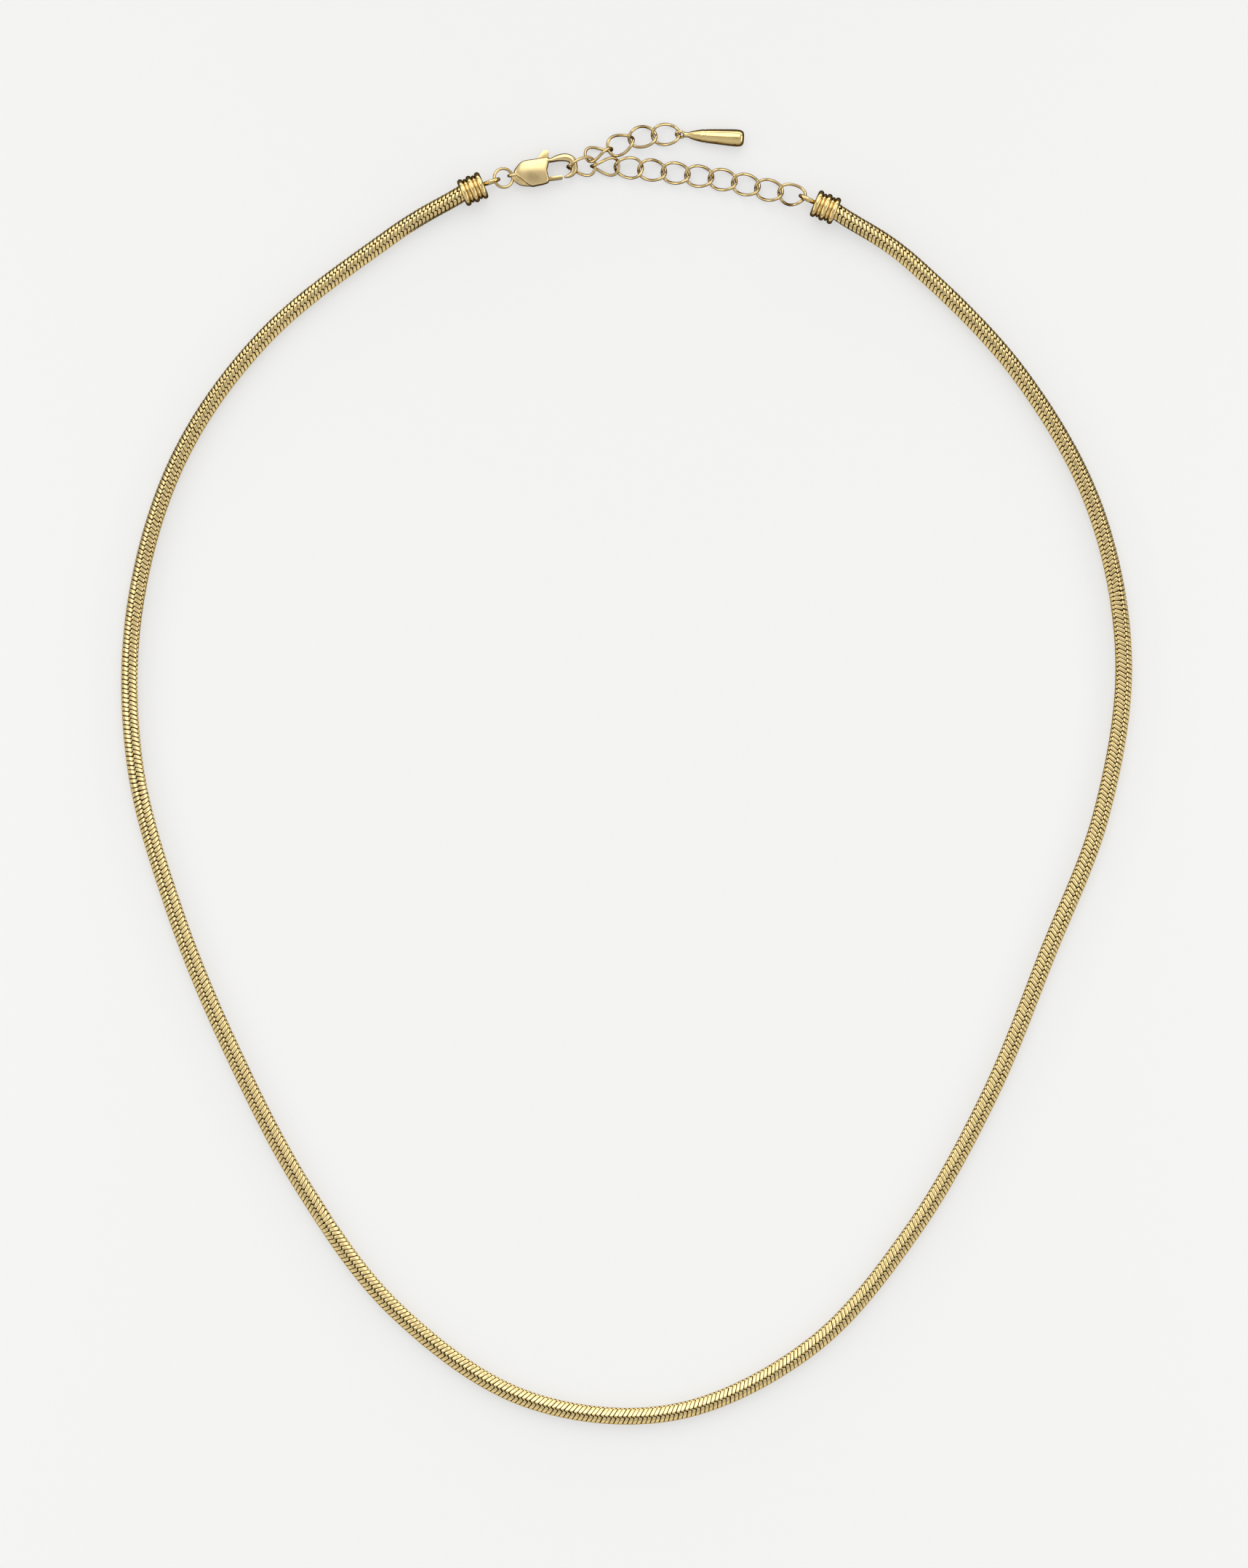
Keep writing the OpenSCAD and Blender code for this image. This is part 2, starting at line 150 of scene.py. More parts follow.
def end_faces(count, sides):
    """One face over the first ring of a skin of so many points, and one over its last."""
    return [list(range(sides)), list(range(count - sides, count))[::-1]]


def wire_ring(r, wire, around, sides):
    """Points and faces of a round wire ring about Z."""
    t, a = all_round(around)[:, None], all_round(sides)[None]
    reach = r + wire / 2 * np.cos(a)
    v = np.stack([reach * np.cos(t), reach * np.sin(t), wire / 2 * np.sin(a) + 0 * t], -1)
    return v.reshape(-1, 3), skin_faces(around, sides, True)[:, ::-1]


def turned_shape(profile, around):
    """Points and faces of a profile of (radius, height) turned about Z, closed at both ends."""
    p = np.array(profile, float)
    t = all_round(around)[None]
    v = np.stack([p[:, :1] * np.cos(t), p[:, :1] * np.sin(t), p[:, 1:] + 0 * t], -1)
    k = np.arange(around // 2 - 1)
    end = np.stack([k, k + 1, around - 2 - k, around - 1 - k], -1)
    last_ring = (len(p) - 1) * around
    faces = [skin_faces(len(p), around, False), end[:, ::-1], end + last_ring]
    return v.reshape(-1, 3), np.vstack(faces)


def facing_out(v, f):
    """The faces of a closed skin, turned over if they look inward."""
    v = v - v.mean(0)
    a, b, c, d = (v[f[:, k]] for k in range(4))
    volume = (a * np.cross(b, c)).sum() + (a * np.cross(c, d)).sum()
    return f if volume > 0 else f[:, ::-1]


def placed(v, at=(0, 0, 0), turns=()):
    """Points turned by (degrees, axis) pairs, the last first, and moved to a place."""
    m = Matrix.Translation(Vector(at))
    for angle, axis in turns:
        m = m @ Matrix.Rotation(math.radians(angle), 4, axis)
    m = np.array(m)
    return v @ m[:3, :3].T + m[:3, 3]


def joined(shapes):
    """Several (points, faces) as one."""
    verts, faces, n = [], [], 0
    for v, f in shapes:
        verts.append(v)
        faces.append(np.asarray(f) + n)
        n += len(v)
    return np.vstack(verts), np.vstack(faces)


# ---------------------------------------------------------------- objects
def mesh_piece(name, verts, faces, material, smooth=True, groove_shade=None):
    """A new object from points in metres, and faces as lists or as an array of fours."""
    me = bpy.data.meshes.new(name)
    verts = np.asarray(verts, np.float32).reshape(-1, 3)
    if isinstance(faces, np.ndarray):
        count = len(faces)
        me.vertices.add(len(verts))
        me.vertices.foreach_set("co", verts.ravel())
        me.loops.add(count * 4)
        me.loops.foreach_set("vertex_index", faces.astype(np.int32).ravel())
        me.polygons.add(count)
        me.polygons.foreach_set("loop_start", np.arange(0, count * 4, 4, dtype=np.int32))
        me.polygons.foreach_set("loop_total", np.full(count, 4, np.int32))
    else:
        me.from_pydata(verts.tolist(), [], faces)
    me.update(calc_edges=True)
    me.validate()
    me.polygons.foreach_set("use_smooth", np.full(len(me.polygons), smooth))
    # painted shade: a per-point attribute of how far the colour is darkened in the grooves
    if groove_shade is not None:
        layer = me.attributes.new("groove_shade", "FLOAT", "POINT")
        layer.data.foreach_set("value", np.asarray(groove_shade, np.float32).ravel())
    me.materials.append(material)
    o = bpy.data.objects.new(name, me)
    bpy.context.scene.collection.objects.link(o)
    return o


def solid(name, v, f, material):
    """A closed object from points in millimetres, with every face turned outward."""
    o = mesh_piece(name, np.asarray(v) * MM, f, material)
    bm = bmesh.new()
    bm.from_mesh(o.data)
    bmesh.ops.recalc_face_normals(bm, faces=bm.faces)
    bm.to_mesh(o.data)
    bm.free()
    return o


def prism(name, outline, half, material):
    """An outline as a flat plate, so far up and down from the middle plane."""
    n = len(outline)
    v = np.vstack([np.column_stack([outline, np.full(n, z)]) for z in (-half, half)])
    ends = [list(range(n))[::-1], list(range(n, 2 * n))]
    return solid(name, v, skin_faces(2, n, False).tolist() + ends, material)


def applied(o):
    """o with its modifiers turned into mesh."""
    graph = bpy.context.evaluated_depsgraph_get()
    graph.update()
    me = bpy.data.meshes.new_from_object(o.evaluated_get(graph))
    o.modifiers.clear()
    o.data = me
    return o


def cut(o, tool, operation="DIFFERENCE"):
    """o with the tool's shape cut out of it or added to it; the tool is used up."""
    m = o.modifiers.new("cut", "BOOLEAN")
    m.object = tool
    m.operation = operation
    m.solver = "EXACT"
    applied(o)
    bpy.data.objects.remove(tool)
    return o


def bevelled(o, width, segments, angle):
    """o with its edges rounded where two faces meet at more than an angle."""
    m = o.modifiers.new("bevel", "BEVEL")
    m.width = width * MM
    m.segments = segments
    m.limit_method = "ANGLE"
    m.angle_limit = math.radians(angle)
    m.harden_normals = False
    return applied(o)


def smooth_by_angle(o, angle):
    """Shaded smooth, but with a crease where two faces meet at more than an angle."""
    o.data.polygons.foreach_set("use_smooth", np.full(len(o.data.polygons), True))
    o.data.set_sharp_from_angle(angle=math.radians(angle))
    o.data.update()


def join_into(o, others):
    """Other objects' meshes added to o's; they are used up."""
    bm = bmesh.new()
    bm.from_mesh(o.data)
    for x in others:
        bm.from_mesh(x.data)
    bm.to_mesh(o.data)
    bm.free()
    for x in others:
        bpy.data.objects.remove(x)
    return o


def dress(o, body, slot, *nodes):
    """A piece that moves with a body and stands for CAD nodes."""
    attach(o, body)
    if nodes:
        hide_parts(*nodes)


# ---------------------------------------------------------------- materials
PAPER_BACK = (0.317, 0.318, 0.317)
PAPER_FRONT = (0.339, 0.340, 0.339)
# painted reflection: the near-black colour of the paper as the metal mirrors it near the neck and
# hardware
PAPER_PAINTED_REFLECTION = (0.042, 0.035, 0.027)
PAPER_GLOW = 1.6
EDGE_TINT = (0.22, 0.14, 0.07)      # what gold mirrors at a grazing angle
# Sizes of the gold's patches, rubbed places and scratches and of the paper's grain, as so many
# to a metre
PATCHES, RUBS, SCRATCHES, GRAIN = 700, 900, 6000, 400
SCRATCH_DEPTH = 0.00005
GRAIN_STRENGTH = 0.06
PAPER_REACH = 0.12          # how far back and front the paper's grey changes, in metres
# Where the paper gets a painted dark reflection: an oval on the chain's loop, and the strip with
# the clasp and extender, in metres
LOOP_HALF_W, LOOP_HALF_L, LOOP_MIDDLE_Y = 0.0685, 0.068, 0.015
BEHIND_FROM, BEHIND_FULL = 0.015, 0.05
STRIP_X, STRIP_HALF_W, STRIP_FROM_Y = 0.002, 0.030, 0.068


def node(tree, kind, inputs=None, **settings):
    """A new shader node; each input takes a value or the socket that it is read from."""
    made = tree.nodes.new(kind)
    for name, value in settings.items():
        setattr(made, name, value)
    for name, value in (inputs or {}).items():
        if isinstance(value, bpy.types.NodeSocket):
            tree.links.new(value, made.inputs[name])
        else:
            made.inputs[name].default_value = value
    return made


def maths(tree, operation, *values, clamp=False):
    """What a Math node makes of numbers or sockets."""
    made = node(tree, "ShaderNodeMath", dict(enumerate(values)), operation=operation,
                use_clamp=clamp)
    return made.outputs[0]


def shader_group(name, inputs, outputs):
    """An empty group of shader nodes, what it is given and what it puts out."""
    g = bpy.data.node_groups.new(name, "ShaderNodeTree")
    for in_out, sockets in (("INPUT", inputs), ("OUTPUT", outputs)):
        for socket, kind in sockets.items():
            g.interface.new_socket(name=socket, in_out=in_out, socket_type="NodeSocket" + kind)
    return g, g.nodes.new("NodeGroupInput").outputs, g.nodes.new("NodeGroupOutput").inputs


def tone_group():
    """Soft change of a metal's colour: patches along it, and painted shade darkening it in its
    grooves.
    """
    g, given, out = shader_group(
        "gold tone",
        {"Bright": "Color", "Deep": "Color", "Groove shade": "Float", "Patch size": "Float",
         "Patch strength": "Float"},
        {"Colour": "Color"})
    place = node(g, "ShaderNodeTexCoord").outputs["Object"]
    patches = node(g, "ShaderNodeTexNoise", {
        "Vector": place, "Scale": given["Patch size"], "Detail": 3})
    spread = node(g, "ShaderNodeMapRange", {
        "Value": patches.outputs["Fac"], "From Min": 0.35, "From Max": 0.65, "To Min": 0,
        "To Max": given["Patch strength"]})
    # the random patches and the painted shade in the grooves both pull the colour towards the deep
    # one
    deep = maths(g, "MAXIMUM", spread.outputs["Result"], given["Groove shade"], clamp=True)
    mix = node(g, "ShaderNodeMix", {
        "Factor": deep, "A": given["Bright"], "B": given["Deep"]}, data_type="RGBA")
    g.links.new(mix.outputs["Result"], out["Colour"])
    return g


def wear_group():
    """Roughness that changes over the surface, with fine rubbed scratches as a height."""
    g, given, out = shader_group(
        "polish wear",
        dict.fromkeys(("Smoothest", "Roughest", "Patch size", "Scratch size"), "Float"),
        {"Roughness": "Float", "Height": "Float"})
    place = node(g, "ShaderNodeTexCoord").outputs["Object"]
    rubs = node(g, "ShaderNodeTexNoise", {
        "Vector": place, "Scale": given["Patch size"], "Detail": 4})
    scratches = node(g, "ShaderNodeTexNoise", {
        "Vector": place, "Scale": given["Scratch size"], "Detail": 2})
    rough = node(g, "ShaderNodeMapRange", {
        "Value": rubs.outputs["Fac"], "From Min": 0.3, "From Max": 0.7,
        "To Min": given["Smoothest"], "To Max": given["Roughest"]})
    g.links.new(rough.outputs["Result"], out["Roughness"])
    g.links.new(scratches.outputs["Fac"], out["Height"])
    return g


TONE = tone_group()
WEAR = wear_group()


def new_material(name):
    """A material, its node tree and its Principled shader."""
    m = bpy.data.materials.new(name)
    m.use_nodes = True
    return m, m.node_tree, m.node_tree.nodes["Principled BSDF"]


def gold(name, bright, deep, smoothest, roughest, patch=0.15, bump=0.03, grooved=False):
    """Polished gold plate over brass, with uneven colour, rubbed patches and fine scratches; when
    grooved, painted shade darkens its grooves.
    """
    m, t, shader = new_material(name)
    shader.inputs["Metallic"].default_value = 1
    shader.inputs["Specular Tint"].default_value = (*EDGE_TINT, 1)
    groove_shade = 0
    # painted shade in the grooves, read from a per-point attribute of the mesh
    if grooved:
        groove_shade = node(t, "ShaderNodeAttribute", attribute_name="groove_shade").outputs["Fac"]
    tone = node(t, "ShaderNodeGroup", {
        "Bright": (*bright, 1), "Deep": (*deep, 1), "Groove shade": groove_shade, "Patch size": PATCHES,
        "Patch strength": patch}, node_tree=TONE)
    wear = node(t, "ShaderNodeGroup", {
        "Smoothest": smoothest, "Roughest": roughest, "Patch size": RUBS,
        "Scratch size": SCRATCHES}, node_tree=WEAR)
    scratched = node(t, "ShaderNodeBump", {
        "Strength": bump, "Distance": SCRATCH_DEPTH, "Height": wear.outputs["Height"]})
    t.links.new(tone.outputs["Colour"], shader.inputs["Base Color"])
    t.links.new(wear.outputs["Roughness"], shader.inputs["Roughness"])
    t.links.new(scratched.outputs["Normal"], shader.inputs["Normal"])
    return m


def painted_dark_reflection(t, place):
    """Painted dark reflection: where the paper is painted near black for reflected rays only, so
    it looks dark in the polished metal: outside the loop behind the neck, and round the clasp and
    extender."""
    at = node(t, "ShaderNodeSeparateXYZ", {"Vector": place})
    x, y = at.outputs["X"], at.outputs["Y"]
    # across and back, squared, come to 1 on the oval and to more outside it
    across = maths(t, "POWER", maths(t, "ABSOLUTE", maths(t, "DIVIDE", x, LOOP_HALF_W)), 2.0)
    back = maths(t, "DIVIDE", maths(t, "SUBTRACT", y, LOOP_MIDDLE_Y), LOOP_HALF_L)
    oval = maths(t, "ADD", across, maths(t, "MULTIPLY", back, back))
    outside = node(t, "ShaderNodeMapRange", {"Value": oval, "From Min": 0.96, "From Max": 1.02})
    behind = node(t, "ShaderNodeMapRange", {
        "Value": y, "From Min": BEHIND_FROM, "From Max": BEHIND_FULL})
    neck = maths(t, "MULTIPLY", outside.outputs["Result"], behind.outputs["Result"])
    aside = maths(t, "ABSOLUTE", maths(t, "SUBTRACT", x, STRIP_X))
    hardware = maths(t, "MULTIPLY", maths(t, "LESS_THAN", aside, STRIP_HALF_W),
                     maths(t, "GREATER_THAN", y, STRIP_FROM_Y))
    mirrored = node(t, "ShaderNodeLightPath").outputs["Is Glossy Ray"]
    return maths(t, "MULTIPLY", maths(t, "MAXIMUM", neck, hardware), mirrored)


def paper():
    """Matte pale paper on a light table, so the shadows stay faint, with a painted dark reflection
    in the metal near the neck and the hardware.
    """
    m, t, shader = new_material("pale paper")
    shader.inputs["Roughness"].default_value = 0.85
    shader.inputs["Specular IOR Level"].default_value = 0.2
    shader.inputs["Emission Strength"].default_value = PAPER_GLOW
    place = node(t, "ShaderNodeTexCoord").outputs["Object"]
    grain = node(t, "ShaderNodeTexNoise", {"Vector": place, "Scale": GRAIN})
    at = node(t, "ShaderNodeSeparateXYZ", {"Vector": place})
    front = node(t, "ShaderNodeMapRange", {
        "Value": at.outputs["Y"], "From Min": PAPER_REACH, "From Max": -PAPER_REACH})
    grey = maths(t, "MULTIPLY_ADD", grain.outputs["Fac"], GRAIN_STRENGTH, front.outputs["Result"])
    ramp = node(t, "ShaderNodeValToRGB", {"Fac": grey})
    ramp.color_ramp.elements[0].color = (*PAPER_BACK, 1)
    ramp.color_ramp.elements[1].color = (*PAPER_FRONT, 1)
    # painted reflection: for reflected rays only, the paper turns near black in the masked places,
    # so the metal mirrors dark there
    mix = node(t, "ShaderNodeMix", {
        "Factor": painted_dark_reflection(t, place), "A": ramp.outputs["Color"],
        "B": (*PAPER_PAINTED_REFLECTION, 1)}, data_type="RGBA")
    for socket in ("Base Color", "Emission Color"):
        t.links.new(mix.outputs["Result"], shader.inputs[socket])
    return m


# name, bright colour, deep colour, least and most roughness, patches, scratches, and painted shade
# in the grooves
# the chain's near-black deep colour is both the tone of its random patches and its painted shade
# in the grooves
CHAIN_GOLD = gold(
    "chain_gold", (0.91, 0.71, 0.34), (0.10, 0.042, 0.003), 0.16, 0.28, 0.10, 0.05, True)
# painted shade: the core's near-black colour stands for the shade between the plates
CORE_PAINTED_SHADE = gold("chain_core_painted_shade", (0.065, 0.032, 0.009), (0.015, 0.007, 0.001), 0.4, 0.6)
CLASP_GOLD = gold(
    "clasp_gold", (0.80, 0.62, 0.32), (0.56, 0.40, 0.16), 0.17, 0.26, 0.15, 0.02)
BRIGHT_GOLD = gold(
    "polished_gold", (0.80, 0.61, 0.28), (0.50, 0.34, 0.12), 0.06, 0.13, 0.2, 0.02)
# a darker copy of the polished gold for the ring and the links: the darker colour is painted shade
# on the thin wires
SHADED_WIRE_GOLD = gold(
    "wire_gold_painted_shade", (0.66, 0.50, 0.235), (0.28, 0.19, 0.075), 0.12, 0.2, 0.25, 0.03)

# ---------------------------------------------------------------- snake chain
PITCH = 0.617               # from one plate to the next, mm
CHAIN_SEATED = SEAT_DEPTH - 0.05    # how far the chain goes into a cap, mm
HEADING_REACH = 0.8         # the chain's heading is read this far before and after a point, mm
# The weave along the chain: share of its length; how far back, in pitches, a plate leans across
# the inner, middle and outer column; angles of the three upper seams from the chain's top
# towards its outer side; how far the plate kinks forward again at the second seam, and the
# angle that this kink takes up
WEAVE = [
    (0.0, 0.5, 0.75, 0.45, -16, 24, 70, 0.45, 6), (0.03, 0.5, 0.75, 0.45, -23, 22, 68, 0.45, 6),
    (0.09, 0.5, 0.75, 0.45, -23, 17, 65, 0.45, 6), (0.13, 0.5, 0.7, 0.45, -33, 11, 64, 0.45, 6),
    (0.17, 0.5, 0.6, 0.4, -43, 7, 65, 0.55, 7), (0.19, 0.5, 0.6, 0.38, -54, 4, 66, 0.6, 8),
    (0.21, 0.5, 0.6, 0.38, -70, -1, 66, 0.65, 8), (0.234, 0.5, 0.6, 0.38, -68, 0, 72, 0.6, 8),
    (0.243, -0.5, -0.8, -0.6, -66, 1, 78, -0.5, 8),
    (0.29, -0.5, -0.9, -0.65, -60, 5, 84, -0.45, 8),
    (0.34, -0.5, -1, -0.7, -60, 8, 86, -0.45, 8), (0.385, -0.5, -1, -0.7, -64, 7, 86, -0.5, 10),
    (0.394, 0.4, 0.8, 0.5, -72, 8, 87, 0.6, 11), (0.45, 0.4, 0.9, 0.5, -70, 8, 88, 0.65, 12),
    (0.49, 0.4, 1.05, 0.6, -66, 7, 88, 0.65, 11), (0.56, 0.4, 1.1, 0.65, -62, 5, 86, 0.6, 9),
    (0.69, 0.4, 1.05, 0.6, -56, 11, 82, 0.5, 8), (0.79, 0.4, 1, 0.6, -49, 14, 76, 0.5, 7),
    (0.833, 0.4, 0.95, 0.55, -44, 18, 74, 0.5, 6),
    (0.842, -0.5, -0.7, -0.4, -30, 19, 67, -0.4, 6),
    (0.89, -0.5, -0.75, -0.4, -25, 19, 65, -0.4, 6),
    (0.95, -0.5, -0.75, -0.4, -19, 23, 66, -0.4, 6),
    (1.0, -0.5, -0.75, -0.4, -10, 34, 72, -0.4, 6)]
COLUMNS = 6                 # three above and three below
UNDERSIDE_LEAN = 0.8        # lean of the columns below, to the inner one's
INNER_KINK = 0.8            # how far a plate kinks at the inner seam, to the second seam's kink
# The plates sit closer together round the front of the neck: share of the length, and how much
# wider they look there
CLOSER = ((0.25, 0.4, 0.62, 0.75), (1, 1.045, 1.045, 1))
# One plate between two seams: share of the way across, its half width in pitches and how deep
# its face lies below the chain's outline
PLATE = [
    (0.0, 0.3, 0.045), (0.07, 0.385, 0.012), (0.2, 0.422, 0), (0.5, 0.425, 0), (0.8, 0.422, 0),
    (0.93, 0.385, 0.012), (1.0, 0.3, 0.045)]
KINK_W, KINK_DEPTH = 0.25, 0.12     # the same in the middle of the kink at a seam
KINK_ANGLE = 6                      # degrees round the chain
# painted shade along the kink at each seam, added to the groove's painted shade
KINK_SHADE = 0.35
FLAT = 0.7                  # 0 for a plate round like the chain, 1 for one flat between seams
# Section of a plate: share of its half width, depth in mm, and how much painted shade the groove
# gets there
SECTION = [
    (-0.97, 0.32, 1), (-1, 0.06, 0.9), (-0.84, 0.008, 0.25), (-0.68, 0, 0), (0.68, 0, 0),
    (0.84, 0.008, 0.25), (1, 0.06, 0.9), (0.97, 0.32, 1)]
# How unevenly the plates lie: round the chain in degrees, along it and out of it in mm
UNEVEN_ROUND, UNEVEN_ALONG, UNEVEN_OUT = 0.8, 0.012, 0.004
CORE_STEP, CORE_SIDES, CORE_DEPTH = 1.2, 20, 0.3


def chain_places(step):
    """Points every step along the chain, its ways ahead, outward and up there, in mm, and each
    point's share of its length."""
    line = smooth_line([(x * 1000, y * 1000, lift) for x, y, lift in ROUTE], 40)
    line[:, 2] = CHAIN_D / 2 + np.maximum(0, line[:, 2]) * (CAP_R - CHAIN_D / 2)
    first = np.append(line[0, :2] + CHAIN_SEATED * pointing(LEFT_CAP[0]), CAP_R)
    last = np.append(line[-1, :2] + CHAIN_SEATED * pointing(RIGHT_CAP[0]), CAP_R)
    line = np.vstack([first, line, last])
    along = np.append(0, np.cumsum(np.linalg.norm(np.diff(line, axis=0), axis=1)))
    count = int(round(along[-1] / step))
    s = (np.arange(count) + 0.5) * along[-1] / count

    def point(s):
        return np.stack([np.interp(s, along, line[:, k]) for k in range(3)], 1)

    ahead = unit(point(s + HEADING_REACH) - point(s - HEADING_REACH))
    side = unit(np.cross(ahead, (0, 0, 1)))
    return point(s), ahead, side, np.cross(side, ahead), s / along[-1]


def weave(share, uneven):
    """For each plate the angles of its seams, the angle that each kink takes up, and where each
    column starts and how far back it leans, in pitches."""
    table = np.array(WEAVE, float)
    inner, middle, outer, first, second, third, rise, bend = (
        np.interp(share, table[:, 0], table[:, k]) for k in range(1, 9))
    below = [third + k * (first + 360 - third) / 4 for k in (1, 2, 3)]
    seams = np.stack([first, second, third, *below], 1) + UNEVEN_ROUND * uneven[:, None]
    kinks = np.full((len(share), COLUMNS), float(KINK_ANGLE))
    kinks[:, 1] = bend
    under = UNDERSIDE_LEAN * inner
    lean = np.stack([middle, outer, under, under, under, inner], 1)
    start = np.zeros((len(share), COLUMNS))
    start[:, 0] = middle / 2
    start[:, 1] = -middle / 2 + rise
    start[:, 5] = middle / 2 - INNER_KINK * rise + inner
    # the columns below start so that the plate closes on itself
    step = (start[:, 5] - (start[:, 1] - outer) + 3 * under) / 4
    for j in (2, 3, 4):
        start[:, j] = start[:, j - 1] - lean[:, j - 1] + step
    return np.radians(seams), np.radians(kinks), start, lean


def round_the_plates(share, uneven):
    """Angle, way forward, half width and depth of every station round each plate."""
    seams, kinks, start, lean = weave(share, uneven)
    close = np.interp(share, *CLOSER)
    stations = []
    for j in range(COLUMNS):
        k = (j + 1) % COLUMNS
        a = seams[:, j] + kinks[:, j] / 2
        b = seams[:, k] + (0 if k else 2 * math.pi) - kinks[:, k] / 2
        reach = (b - a) / 2
        for f, half, depth in PLATE:
            flat = CHAIN_D / 2 * (1 - np.cos(reach) / np.cos(reach * (2 * f - 1)))
            stations.append((a + f * (b - a), (start[:, j] - f * lean[:, j]) * PITCH,
                             half * PITCH * close, depth + FLAT * flat))
        stations.append((b + kinks[:, k] / 2, (start[:, j] - lean[:, j] + start[:, k]) / 2 * PITCH,
                         np.full_like(a, KINK_W * PITCH), np.full_like(a, KINK_DEPTH)))
    return np.transpose(stations, (1, 2, 0))


def snake_chain():
    """The woven chain: wavy plates in four pieces, round a core painted near black as shade."""
    at, ahead, side, up, share = chain_places(PITCH)
    n = len(at)
    uneven = np.random.default_rng(7).normal(0, 1, (n, 3))
    angle, forward, half, depth = round_the_plates(share, uneven[:, 0])
    across, deep, groove_shade = np.array(SECTION, float).T
    r = CHAIN_D / 2 - depth[..., None] - deep + UNEVEN_OUT * uneven[:, 2, None, None]
    u = (forward + UNEVEN_ALONG * uneven[:, 1:2])[..., None] + half[..., None] * across
    out = np.sin(angle)[..., None] * side[:, None] + np.cos(angle)[..., None] * up[:, None]
    v = at[:, None, None] + r[..., None] * out[:, :, None] + u[..., None] * ahead[:, None, None]
    # painted shade: each plate's groove darkening, with the kink's painted shade at the seams,
    # goes to the mesh as a per-point attribute
    seam = np.zeros(angle.shape[1])
    seam[len(PLATE)::len(PLATE) + 1] = KINK_SHADE
    dark = np.broadcast_to(groove_shade + seam[:, None], v.shape[:3])
    around, points = v.shape[1:3]
    one = skin_faces(around, points, True)[:, ::-1]
    ends = np.linspace(0, n, 5).astype(int)
    for k, (a, b) in enumerate(zip(ends, ends[1:]), 1):
        faces = (one + (np.arange(b - a) * around * points)[:, None, None]).reshape(-1, 4)
        o = mesh_piece("chain_plates_%d" % k, v[a:b] * MM, faces, CHAIN_GOLD,
                       groove_shade=np.clip(dark[a:b], 0, 1))
        dress(o, "necklace", "gold_chain")
    chain_core()


def chain_core():
    """A tube painted near black, standing in for the shade that shows between the plates."""
    at, _, side, up, _ = chain_places(CORE_STEP)
    a = all_round(CORE_SIDES)[:, None]
    ring = np.cos(a) * side[:, None] + np.sin(a) * up[:, None]
    tube = (at[:, None] + (CHAIN_D / 2 - CORE_DEPTH) * ring).reshape(-1, 3)
    faces = skin_faces(len(at), CORE_SIDES, False)[:, ::-1].tolist()
    core = mesh_piece("chain_core", tube * MM, faces + end_faces(len(tube), CORE_SIDES), CORE_PAINTED_SHADE)
    dress(core, "necklace", "gold_chain", "snake_chain")


# ---------------------------------------------------------------- end caps, ring and links
# Ribs from a cap's mouth to its closed end: width, radius and points on the rounded lip
BIG_RIB = (BIG_RIB_W, CAP_R, 13)
SMALL_RIB = (SMALL_RIB_W, CAP_R - RIB_STEP, 9)
RIBS = [BIG_RIB, SMALL_RIB, BIG_RIB, SMALL_RIB, BIG_RIB]
BORE_EASE = 0.05            # how far the bore's corners are eased
CAP_LOOP_SUNK = 0.2
LINK_STEPS, LINK_SIDES = 64, 14


def lip(w, r, x, steps):
    """Half-round outline of a rib, from its side at x to its other side."""
    t = np.radians(np.linspace(-90, 90, steps))
    return [(r - w / 2 + w / 2 * math.cos(a), x + w / 2 + w / 2 * math.sin(a)) for a in t]


def end_cap(name, mouth, headings):
    """A turned cap with ribs, and the loop soldered to its closed end."""
    mouth = np.array(mouth[:2]) * 1000
    bore, bottom = CHAIN_D / 2 + GAP, SEAT_DEPTH + GAP
    # the bore's bottom, its wall and its eased mouth
    profile = [(ON_AXIS, bottom), (bore - BORE_EASE, bottom), (bore, bottom - BORE_EASE),
               (bore, 0.12), (bore + BORE_EASE, 0.02), (bore + 2 * BORE_EASE, 0)]
    length = 0
    for w, r, steps in RIBS:
        profile += lip(w, r, length, steps)
        length += w
    profile += [(CAP_R * 0.55, length), (CAP_R * 0.3, length + 0.02), (ON_AXIS, length + 0.03)]
    v, f = turned_shape(profile, 96)
    v = placed(v, (*mouth, CAP_R), ((headings[0], "Z"), (90, "Y")))
    loop, loop_faces = wire_ring((CAP_LOOP_D - CAP_LOOP_WIRE) / 2, CAP_LOOP_WIRE, 80, 20)
    middle = (mouth + length * pointing(headings[0])
              + (CAP_LOOP_D / 2 - CAP_LOOP_SUNK) * pointing(headings[1]))
    loop = placed(loop, (*middle, CAP_R), ((headings[1], "Z"), (90, "X")))
    v, f = joined([(v, facing_out(v, f)), (loop, loop_faces)])
    dress(mesh_piece(name + "_turned", v * MM, f, BRIGHT_GOLD), "necklace", "gold_polished", name)


def jump_ring():
    """The soldered ring between the left cap's loop and the clasp."""
    v, f = wire_ring((RING_D - RING_WIRE) / 2, RING_WIRE, 96, 20)
    v = placed(v, RING_AT, ((RING_TURN[0], "Z"), (RING_TURN[1], "Y")))
    o = mesh_piece("ring_wire", v * MM, f, SHADED_WIRE_GOLD)
    dress(o, "necklace", "gold_polished", "jump_ring")


def link_frame(name):
    """Middle and axes of a CAD link: its length, its width and the way out of its plane."""
    co = np.array([v.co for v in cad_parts[name].data.vertices], float)
    co = np.unique(np.round(co, 8), axis=0)
    middle = co.mean(0)
    _, axes = np.linalg.eigh(np.cov((co - middle).T))
    x, y = axes[:, 2], axes[:, 1]
    return middle * 1000, np.stack([x, y, np.cross(x, y)], 1)


